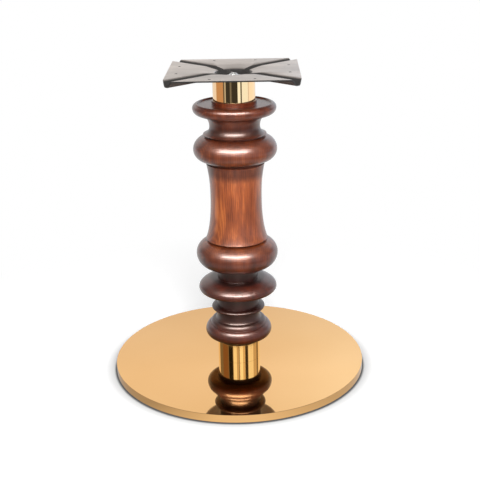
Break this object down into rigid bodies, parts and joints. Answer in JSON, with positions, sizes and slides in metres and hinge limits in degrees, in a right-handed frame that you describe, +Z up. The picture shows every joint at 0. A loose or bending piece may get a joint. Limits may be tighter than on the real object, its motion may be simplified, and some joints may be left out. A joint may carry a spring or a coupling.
{
  "type": "pedestal table base",
  "caption": "Free-standing pedestal table base: polished round foot, turned wooden column between two sleeves, and a pressed steel top plate for a table top.",
  "frame": {"origin": "centre of the footprint on the floor, on the column's axis", "axes": "+Z up along the column, +X and +Y along the sides of the square top plate"},
  "size_m": [0.5999, 0.6, 0.72],
  "materials": {
    "gold_mirror": "mirror polished",
    "stained_wood": "varnished, turned",
    "plate_steel": "bare pressed sheet",
    "zinc_steel": "bright zinc",
    "mild_steel": "turned and oiled",
    "black_plastic": "moulded"
  },
  "bodies": {
    "root": {"base_cover": "gold_mirror", "weight_plate": "mild_steel", "hub_screws": "zinc_steel", "base_hub": "mild_steel", "glide_feet": "black_plastic", "glide_studs": "zinc_steel", "lower_sleeve": "gold_mirror", "lower_spigot": "mild_steel", "turned_column": "stained_wood", "core_tube": "mild_steel", "upper_spigot": "mild_steel", "upper_sleeve": "gold_mirror", "top_hub": "mild_steel", "top_plate": "plate_steel", "top_washer": "zinc_steel", "tie_bolt": "zinc_steel"}
  },
  "joints": []
}
